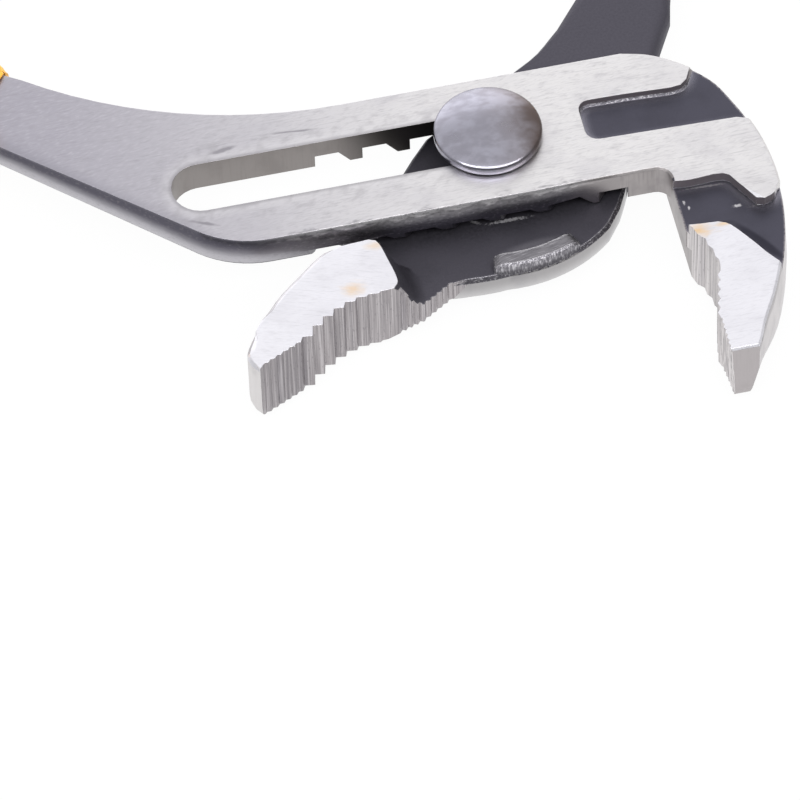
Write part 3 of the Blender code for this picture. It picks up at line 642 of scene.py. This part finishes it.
def fixed_jaw_side():
    """The outside of the fixed jaw, with a painted shade under the ground face, and dark specks."""
    made, tree, shader, coords, base = machined(
        "linished_jaw_side", "#D3CFD0", "#B3B0B2", 0.36, 0.2, 0.5)
    height = add(tree, "SeparateXYZ", {0: coords}, "Z")
    streak = grain(tree, coords, (3.0, 3.0, 0.4))
    ragged = add(tree, "Math", {0: streak, 1: 1.5 * MM, 2: height}, operation="MULTIPLY_ADD")
    # painted shade in a strip under the ground face
    base = coats(tree, base, [(ragged, (Z_FRONT - 1.4) * MM, (Z_FRONT - 0.4) * MM, 0.6, "#8B888C")])
    for place in JAW_SPECKS:
        speck = mark(tree, coords, place, SPECK_SIZE)
        base = coats(tree, base, [(speck, 1.0, 0.6, 0.85, "#4B494E")])
    tree.links.new(base, shader.inputs["Base Color"])
    return made


def disc_rim():
    """The rim of the disc, with a painted reflection of the floor that makes it lighter towards its back.
    """
    made, tree, shader, coords, base = machined("turned_disc_rim", "#ABA9AA", "#918F93", 0.34, 0.1, 0.5)
    height = add(tree, "SeparateXYZ", {0: coords}, "Z")
    # painted reflection of the white floor, lighter towards the back
    base = coats(tree, base, [(height, (Z_LAP - 1.2) * MM, (Z_LAP - 5.2) * MM, 0.8, "#E4E3E4")])
    tree.links.new(base, shader.inputs["Base Color"])
    return made


slot_wall = milled_slot()
jaw_side = fixed_jaw_side()
rim_wall = disc_rim()
print("made", slot_wall.name, jaw_side.name, rim_wall.name)

# %% [markdown]
# The teeth are broached: a cutter as thick as the jaw is drawn through, so every tooth face has
# scratches straight across the jaw and a dull grey colour. The lines could be cut as geometry, but they
# are finer than a render shows, so noise drawn out along Z gives them, in three widths from 0.15 to
# 1.2 mm. The fixed jaw's teeth are lighter and more deeply scored, and the small teeth at the tip of the
# moving jaw are duller.

# %% Broached teeth
TIP_TEETH = -34.5


def broached_teeth(name, light, scored):
    """Straight lines across the jaw; how strongly they are scored tells new teeth from rubbed ones."""
    made, tree, shader, coords = start_finish(name, 1.0, 0.44)
    along = add(tree, "SeparateXYZ", {0: coords}, "X")
    lines = grain(tree, coords, (0.15, 0.15, 16.0))
    scores = grain(tree, coords, (0.3, 0.3, 30.0))
    broad = grain(tree, coords, (1.2, 1.2, 40.0), detail=1.0)
    burrs = grain(tree, coords, (0.25, 0.25, 0.9))
    base = coats(tree, colour(light), [
        (along, TIP_TEETH * MM, (TIP_TEETH - 1) * MM, 0.2, "#8B878D"),
        (broad, 0.5, 0.7, 0.4, "#8C888E"),
        (scores, 0.52, 0.62, scored, "#6F6B71"),
        (scores, 0.45, 0.36, scored, "#E6E2E4"),
        (lines, 0.5, 0.62, scored, "#6C686E"),
        (lines, 0.46, 0.36, scored, "#EAE6E8"),
        (burrs, 0.6, 0.72, 0.4, "#5F5B61"),
    ])
    surface(tree, shader, base, lines, 0.35, 0.03, 0.12)
    return made


moving_teeth = broached_teeth("broached_steel", "#B0ABAD", 0.27)
fixed_teeth = broached_teeth("new_broached_steel", "#DCD8D8", 0.4)
print("made", moving_teeth.name, fixed_teeth.name)

# %% [markdown]
# The outside of the tongue takes the load of the jaws. The grooves that it runs in scrape its dark skin
# in short bright strokes, and a painted shade darkens its foot, in the corner with the disc. The strokes
# could be marks, one by one, but there are dozens, so a turned noise of a quarter of a millimetre draws
# them all.

# %% Scraped tongue


def scraped_tongue():
    """Dark skin, scraped in short bright strokes."""
    made, tree, shader, coords = start_finish("scraped_tongue_wall", 1.0, 0.44)
    strokes = grain(tree, coords, (0.25, 0.25, 1.2), 35)
    height = add(tree, "SeparateXYZ", {0: coords}, "Z")
    base = coats(tree, colour("#7E7C82"), [
        (strokes, 0.48, 0.66, 0.7, "#D9D7DC"),
        (strokes, 0.42, 0.32, 0.5, "#4C4A50"),
        # painted shade along the foot of the wall, in the corner with the disc
        (height, (Z_LAP + 0.8) * MM, (Z_LAP + 0.1) * MM, 0.6, "#39373D"),
    ])
    surface(tree, shader, base, strokes, 0.4, 0.04, 0.15)
    return made


tongue_wall = scraped_tongue()
print("made", tongue_wall.name)

# %% [markdown]
# The bolt's domed head is burnished by wear: smooth, darker than the ground faces, with soft smudges
# from handling and a brownish tint on one side. A plain chrome would mirror the room too sharply, so
# the roughness changes with the smudges, and the tint grows along X with a blurred border.

# %% Burnished dome


def burnished_dome():
    """Smooth grey steel, smudged, and brown on the right."""
    made, tree, shader, coords = start_finish("burnished_steel", 1.0, 0.22)
    smudge = grain(tree, coords, (3, 2, 3), detail=4.0)
    fine = grain(tree, coords, (0.8, 0.8, 0.8))
    side = add(tree, "SeparateXYZ", {0: coords}, "X")
    blur = add(tree, "Math", {0: smudge, 1: 4 * MM, 2: side}, operation="MULTIPLY_ADD")
    base = coats(tree, colour("#A4A3AF"), [
        (smudge, 0.36, 0.62, 0.5, "#817E87"),
        (blur, 0.0, 8.0 * MM, 0.35, "#837875"),
        (blur, 5.0 * MM, 10.0 * MM, 0.95, "#5A4E4A"),
    ])
    rough = add(tree, "MapRange", {0: smudge, 1: 0.3, 2: 0.7, 3: 0.16, 4: 0.28})
    tree.links.new(rough, shader.inputs["Roughness"])
    surface(tree, shader, base, fine, 0.08, 0.02, 0.2)
    return made


dome = burnished_dome()
print("made", dome.name)

# %% [markdown]
# The nut and the bolt's shank are zinc plated, which gives a bright bluish grey with a fine crystal
# bloom. A cell pattern could draw the crystals, as on galvanised sheet, but on a small plated nut they
# are too fine for that. The photograph shows neither of them, so the finish is the usual one of such a
# nut: two greys mixed by a noise of about a millimetre.

# %% Zinc plating


def zinc_plate():
    """Two bluish greys in a fine bloom."""
    made, tree, shader, coords = start_finish("zinc_plated_steel", 1.0, 0.32)
    bloom = grain(tree, coords, (1.2, 1.2, 1.2))
    base = coats(tree, colour("#C9CBD2"), [(bloom, 0.3, 0.7, 1.0, "#A7AAB3")])
    surface(tree, shader, base, bloom, 0.1, 0.02, 0.2)
    return made


zinc = zinc_plate()
print("made", zinc.name)

# %% [markdown]
# The grips are steel handles dipped in soft PVC. The skin is smooth and satin, slightly translucent,
# with a faint orange-peel ripple of about 1.5 mm from the dipping. A plain plastic would look hard, so
# a little subsurface light softens it, and a broad cloud varies its colour.

# %% Dipped PVC
GLOW_DEPTHS = (1.2 * MM, 0.5 * MM, 0.2 * MM)


def dipped_pvc():
    """Satin orange plastic that lets a little light in."""
    made, tree, shader, coords = start_finish("dipped_pvc", 0.0, 0.42)
    ripple = grain(tree, coords, (1.5, 1.5, 1.5), detail=1.0)
    cloud = grain(tree, coords, (20, 20, 20))
    base = coats(tree, colour("#FFC04A"), [(cloud, 0.4, 0.7, 0.5, "#FAAE35")])
    shader.inputs["Subsurface Weight"].default_value = 0.15
    shader.inputs["Subsurface Radius"].default_value = GLOW_DEPTHS
    surface(tree, shader, base, ripple, 0.1, 0.05, 0.2)
    return made


pvc = dipped_pvc()
print("made", pvc.name)

# %% [markdown]
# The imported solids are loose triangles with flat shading, and a round handle would look cut from facets.
# A subdivision surface would change the shapes. So a copy is welded, made smooth where it is round and
# kept sharp where it is cut, and its normals are weighted by face area so that the large flats stay flat.

# %% Weld a solid into a smooth piece
SMOOTH_UNDER = math.radians(34)
WELD_WITHIN = 0.002
FLATS_FIRST = 80


def welded_copy(node, name):
    """A smooth mesh in the place of a solid."""
    bpy.ops.object.select_all(action="DESELECT")
    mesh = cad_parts[node].data.copy()
    mesh.name = name
    mesh.materials.clear()
    piece = bpy.data.objects.new(name, mesh)
    scene.collection.objects.link(piece)
    piece.select_set(True)
    bpy.context.view_layer.objects.active = piece
    bpy.ops.object.mode_set(mode="EDIT")
    bpy.ops.mesh.select_all(action="SELECT")
    bpy.ops.mesh.remove_doubles(threshold=WELD_WITHIN * MM)
    bpy.ops.mesh.customdata_custom_splitnormals_clear()
    bpy.ops.object.mode_set(mode="OBJECT")
    bpy.ops.object.shade_smooth_by_angle(angle=SMOOTH_UNDER)
    flats = piece.modifiers.new("flat_faces_first", "WEIGHTED_NORMAL")
    flats.keep_sharp = True
    flats.weight = FLATS_FIRST
    bpy.ops.object.modifier_apply(modifier=flats.name)
    return piece


print("edges are smooth under", round(math.degrees(SMOOTH_UNDER)), "degrees")

# %% [markdown]
# A forged lever is one piece with many finishes. It could be split where the finish changes, but one
# mesh with a finish for each group of faces keeps the borders closed. A face is picked by where its
# middle lies and which way it looks. The finished piece then rides on its body, so that it moves with
# the joints, and stands in for its solid.

# %% Paint a piece and seat it on its body


def paint(piece, finish, chosen):
    """Gives a finish to the faces whose middle, in millimetres, and normal pass a test."""
    if finish.name not in piece.data.materials:
        piece.data.materials.append(finish)
    slot = piece.data.materials.find(finish.name)
    for face in piece.data.polygons:
        if chosen(face.center / MM, face.normal):
            face.material_index = slot


def everywhere(c, n):
    return True


def seat(piece, node, body):
    """The piece rides on a body and stands for a solid."""
    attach(piece, body)
    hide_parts(node)
    print(piece.name, len(piece.data.polygons), "faces")


# %% [markdown]
# The slotted lever carries the fixed jaw. Its front is ground, its recesses are black, its edge is
# forged, and the slot, the throat and the teeth are cut. The faces of each place could be picked by hand
# in edit mode, but such a pick is lost when the solid is built again. So a few short tests find them: c
# is the middle of a face in millimetres, and n is its normal, whose z is 1 on a front face, 0 on an
# upright wall and -1 on the back. A box has a left, right, lower and upper limit, seen from the front.

# %% Places on the slotted lever
JAW_OUTSIDE = 29.0
LINISHED_BELOW = -6.0
FIXED_JAW_BELOW = -20.0
FIXED_TEETH = -24.0
TIP_BELOW = -47.5
THROAT_WALL = 18.0
HEAD_RECESS = (14.0, 39.6, -6.2, 4.6)
JAW_RECESS = (24.2, 40.6, -36.0, -14.6)
SLOT_BOX = (-50.5, 5.0, -4.8, 4.8)
THROAT_BOX = (11.0, 29.5, -60.0, -12.2)


def inside(c, box):
    left, right, lower, upper = box
    return left < c.x < right and lower < c.y < upper


def on_front(c, n):
    return n.z > 0.9 and c.z > Z_FRONT - 0.4


def on_fixed_jaw_front(c, n):
    return n.z > 0.4 and c.z > Z_FRONT - 0.4 and c.y < FIXED_JAW_BELOW


def in_recess(c, n):
    """Floors and walls of the two recesses, without the walls of the plate that they open through."""
    head = inside(c, HEAD_RECESS)
    jaw = inside(c, JAW_RECESS) and c.z > RECESS_FLOOR - 0.2
    through_plate = (n.x < -0.8 and c.x < 26.5) or (n.x > 0.6 and c.x > 37)
    return (head or jaw) and not through_plate


def on_recess_skin(c, n):
    return in_recess(c, n) and RECESS_FLOOR - 0.1 < c.z < Z_FRONT - 0.1 and n.z > -0.1


def on_recess_wall(c, n):
    return on_recess_skin(c, n) and n.z < 0.4


def on_recess_foot(c, n):
    return on_recess_skin(c, n) and 0.4 < n.z < 0.9 and c.z < RECESS_FLOOR + 1.0


def in_slot(c, n):
    return inside(c, SLOT_BOX) and abs(n.z) < 0.5


def in_throat(c, n):
    """The side of the fixed jaw that looks at the moving jaw."""
    return inside(c, THROAT_BOX) and n.x < 0.5 and abs(n.z) < 0.5


def on_throat_wall(c, n):
    return in_throat(c, n) and c.x > THROAT_WALL and c.y > FIXED_TEETH and not in_recess(c, n)


print("the fixed jaw's teeth start", -FIXED_TEETH, "mm below the bolt")

# %% [markdown]
# The finishes of the slotted lever go on like coats, from the broadest area to the smallest: the forged
# edge all over, then the linished and ground faces, then the black recesses and the cut walls. Each test
# could leave out the faces of all the others, but a later coat simply covers an earlier one, so the tests
# stay short.

# %% Slotted lever


def slotted_lever():
    """The lever in front, with the fixed jaw."""
    lever = welded_copy("slotted_lever", "slotted_lever_dressed")
    paint(lever, forged, everywhere)
    paint(lever, jaw_wall, lambda c, n: c.x > JAW_OUTSIDE and c.y < LINISHED_BELOW)
    paint(lever, jaw_side, lambda c, n: c.x > JAW_OUTSIDE and c.y < FIXED_TEETH)
    paint(lever, belt_ground, on_front)
    paint(lever, fixed_jaw_ground, on_fixed_jaw_front)
    paint(lever, oxide_recess, on_recess_skin)
    paint(lever, oxide_wall, on_recess_wall)
    paint(lever, oxide_recess, lambda c, n: n.z > 0.9 and c.z < Z_FRONT - 0.5)
    # painted highlight: the foot of the recess walls takes the bright rubbed finish
    paint(lever, rubbed, on_recess_foot)
    paint(lever, oxide_lever, lambda c, n: n.z < -0.5)
    paint(lever, slot_wall, in_slot)
    paint(lever, throat_wall, on_throat_wall)
    paint(lever, fixed_teeth, lambda c, n: in_throat(c, n) and c.y < FIXED_TEETH)
    paint(lever, tip_cut, lambda c, n: c.y < TIP_BELOW and n.y < -0.8)
    seat(lever, "slotted_lever", "slotted")


slotted_lever()

# %% [markdown]
# The pivot lever lies behind and carries the moving jaw. It is black, except for the ground front of its
# jaw, the broached teeth, the linished walls of the jaw and the disc, and the tongue, which rubs in the
# grooves. Its finishes are picked in the same way. The tongue is a curved rib, so it is found by its
# distance from the pivot axis, and its outside by normals that look away from that axis.

# %% Pivot lever
DISC_BELOW = -9.0
TONGUE_INSIDE = 19.0
TONGUE_OUTSIDE = 23.2
TONGUE_HALF = 13.0
MOVING_JAW = (-200.0, -21.0, -60.0, -12.0)
MOVING_TEETH = (-43.4, -9.8, -60.0, -21.8)


def on_disc_rim(c, n):
    return c.y < DISC_BELOW and c.z < Z_LAP - 0.25 and abs(n.z) < 0.75


def on_disc_edge(c, n):
    return c.y < DISC_BELOW and Z_LAP - 0.6 < c.z < Z_LAP and 0.2 < n.z < 0.95


def on_jaw_top(c):
    return c.z > Z_FRONT - 0.7


def on_jaw_edge(c, n):
    """The narrow sloped edge on the side of the moving jaw that looks away from the teeth."""
    return on_jaw_top(c) and 0.4 < n.z < 0.97 and n.x < -0.1 and n.y > 0.2


def on_moving_teeth(c, n):
    return inside(c, MOVING_TEETH) and n.y < 0.35 and abs(n.z) < 0.4


def on_tongue(c, n):
    high = Z_LAP + 0.1 < c.z < Z_LAP + 2.4
    return high and TONGUE_INSIDE < c.xy.length < TONGUE_OUTSIDE and abs(c.x) < TONGUE_HALF


def on_tongue_outside(c, n):
    return on_tongue(c, n) and n.xy.dot(c.xy) > 0.6 * c.xy.length


def pivot_lever():
    """The black lever, with the disc, the tongue and the moving jaw."""
    lever = welded_copy("pivot_lever", "pivot_lever_dressed")
    paint(lever, oxide_lever, everywhere)
    paint(lever, rim_wall, on_disc_rim)
    # the disc's edge is worn bare, and its bright finish is also a painted highlight
    paint(lever, rubbed, on_disc_edge)
    paint(lever, jaw_wall, lambda c, n: inside(c, MOVING_JAW) and n.x < 0.4 and n.z > -0.75)
    paint(lever, moving_jaw_ground, lambda c, n: on_jaw_top(c) and n.z > 0.4 and n.x < 0.5)
    # painted shade: the sloped edge faces that look to the back get the darker copy
    paint(lever, jaw_edge, on_jaw_edge)
    paint(lever, moving_teeth, on_moving_teeth)
    paint(lever, tongue_top, on_tongue)
    paint(lever, tongue_wall, on_tongue_outside)
    seat(lever, "pivot_lever", "moving")


pivot_lever()

# %% [markdown]
# The bolt holds the levers together: its domed head lies on the slotted lever, its shank runs in the slot
# and through the disc, and the nut sits in a pocket at the back. Head and shank could be two meshes, but
# the bolt is turned from one bar, so the height of the front face parts the burnished head from the
# plated shank. The nut is plated all over.

# %% Bolt and nut


def pivot_bolt():
    """The bolt, burnished above the front face."""
    bolt = welded_copy("pivot_bolt", "pivot_bolt_dressed")
    paint(bolt, zinc, everywhere)
    paint(bolt, dome, lambda c, n: c.z > Z_FRONT)
    seat(bolt, "pivot_bolt", "pivot")


def pivot_nut():
    """The thin nut at the back."""
    nut = welded_copy("pivot_nut", "pivot_nut_dressed")
    paint(nut, zinc, everywhere)
    seat(nut, "pivot_nut", "pivot")


pivot_bolt()
pivot_nut()

# %% [markdown]
# Both handles are dipped in the same PVC, which sets as a thick seamless sleeve with a rounded mouth.
# The sleeve could be a thin shell over the steel, but its solid already has the full form of such a grip.
# So one function dresses both, and each grip rides on the lever that it covers.

# %% Grips


def dipped_grip(node, body):
    """One sleeve of PVC on the handle of a body."""
    grip = welded_copy(node, node + "_dressed")
    paint(grip, pvc, everywhere)
    seat(grip, node, body)


dipped_grip("slotted_lever_grip", "slotted")
dipped_grip("pivot_lever_grip", "moving")

# %% [markdown]
# The tool lies on a white sweep, as for a catalogue. More light could make a grey floor white, but it
# would bleach the steel as well. Here a camera ray, or a ray mirrored by the steel, sees mostly plain
# white on the floor, and a small part of the lit surface, which keeps a faint shadow under the tool.

# %% White floor
FLOOR_SIDE = 6.0
FLOOR_DROP = 0.05
FLOOR_WHITE = 0.96


def white_floor():
    """A broad plane just under the tool, white to the camera and to mirrors."""
    bpy.ops.object.select_all(action="DESELECT")
    bpy.ops.mesh.primitive_plane_add(size=FLOOR_SIDE, location=(0, 0, -FLOOR_DROP * MM))
    floor = bpy.context.object
    floor.name = "white_floor"
    made, tree, shader = start_finish("white_sweep", 0.0, 0.8)[:3]
    shader.inputs["Base Color"].default_value = colour("#F6F6F6")
    rays = add(tree, "LightPath").node.outputs
    camera_or_mirror = {0: rays["Is Camera Ray"], 1: rays["Is Glossy Ray"]}
    seen = add(tree, "Math", camera_or_mirror, operation="MAXIMUM")
    seen = add(tree, "Math", {0: seen, 1: rays["Is Transmission Ray"]}, operation="MAXIMUM")
    share = add(tree, "Math", {0: seen, 1: FLOOR_WHITE}, operation="MULTIPLY")
    white = add(tree, "Emission", {"Color": (1, 1, 1, 1), "Strength": 1.0})
    both = add(tree, "MixShader", {0: share, 1: shader.outputs[0], 2: white})
    tree.links.new(both, tree.nodes["Material Output"].inputs["Surface"])
    floor.data.materials.append(made)
    floor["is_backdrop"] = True
    return floor


floor = white_floor()
print(floor.name, FLOOR_SIDE, "m wide")

# %% [markdown]
# The room is a soft box: bright overhead and behind the tool, brightest low at the back, and dim on the
# side of the camera. The steel mirrors that change, which is what draws its rounded edges. It could be
# built from several lamps, but two gradients in the world are smoother. Only the camera sees plain white
# instead of the room.

# %% Room
ROOM_LEAN = (0, 0.5, 0.6)
ROOM_SPAN = (-0.35, 0.62)
ROOM_DIM = 0.12
GLOW_SPAN = (0.66, 0.95)
BACK_GLOW = 1.0


def studio_room():
    """A world whose light grows upwards and to the back."""
    world = bpy.data.worlds.new("studio")
    scene.world = world
    world.use_nodes = True
    tree = world.node_tree
    coords = add(tree, "TexCoord", out="Generated")
    lean = add(tree, "VectorMath", {0: coords, 1: ROOM_LEAN}, "Value", operation="DOT_PRODUCT")
    limits = {0: lean, 1: ROOM_SPAN[0], 2: ROOM_SPAN[1], 3: ROOM_DIM, 4: 1.0}
    room = add(tree, "MapRange", limits, interpolation_type="SMOOTHSTEP")
    behind = add(tree, "SeparateXYZ", {0: coords}, "Y")
    limits = {0: behind, 1: GLOW_SPAN[0], 2: GLOW_SPAN[1], 4: BACK_GLOW}
    glow = add(tree, "MapRange", limits, interpolation_type="SMOOTHSTEP")
    light = add(tree, "Math", {0: room, 1: glow}, operation="ADD")
    seen = add(tree, "LightPath", out="Is Camera Ray")
    strength = add(tree, "Math", {0: light, 1: seen}, operation="MAXIMUM")
    background = tree.nodes["Background"]
    tree.links.new(strength, background.inputs["Strength"])
    background.inputs["Color"].default_value = (1, 1, 1, 1)
    return world


room = studio_room()
print("world", room.name)

# %% [markdown]
# One broad lamp above the camera stands for the front window of the studio. It adds the thin bright line
# along the shoulder of the bolt's head, and lifts the walls that look at the camera a little. A small
# lamp would make a hard spot on the dome, so this one is a long strip.

# %% Lamp
LAMP_PLACE = (-0.1, -0.75, 1.2)
LAMP_WIDE = 2.6
LAMP_DEEP = 0.5
LAMP_WATTS = 24.0


def broad_lamp():
    """A wide soft lamp that looks at the middle of the tool."""
    bpy.ops.object.light_add(type="AREA", location=LAMP_PLACE)
    lamp = bpy.context.object
    lamp.name = "broad_lamp"
    lamp.data.shape = "RECTANGLE"
    lamp.data.size = LAMP_WIDE
    lamp.data.size_y = LAMP_DEEP
    lamp.data.energy = LAMP_WATTS
    lamp.rotation_euler = (-lamp.location).to_track_quat("-Z", "Y").to_euler()
    return lamp


lamp = broad_lamp()
print(lamp.name, LAMP_WATTS, "W")

# %% [markdown]
# The finishes must not change the size of the tool. A wrong modifier or a stray vertex could, and a
# render would hardly show it. So the box of the solids, kept at the start, and the box of the dressed
# pieces are written down side by side.

# %% Compare the sizes and finish
boxes = {"cad": cad_box, "visual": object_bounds()}
for name, (low, high) in boxes.items():
    print(name, "box", [round((high[i] - low[i]) / MM, 1) for i in range(3)], "mm")
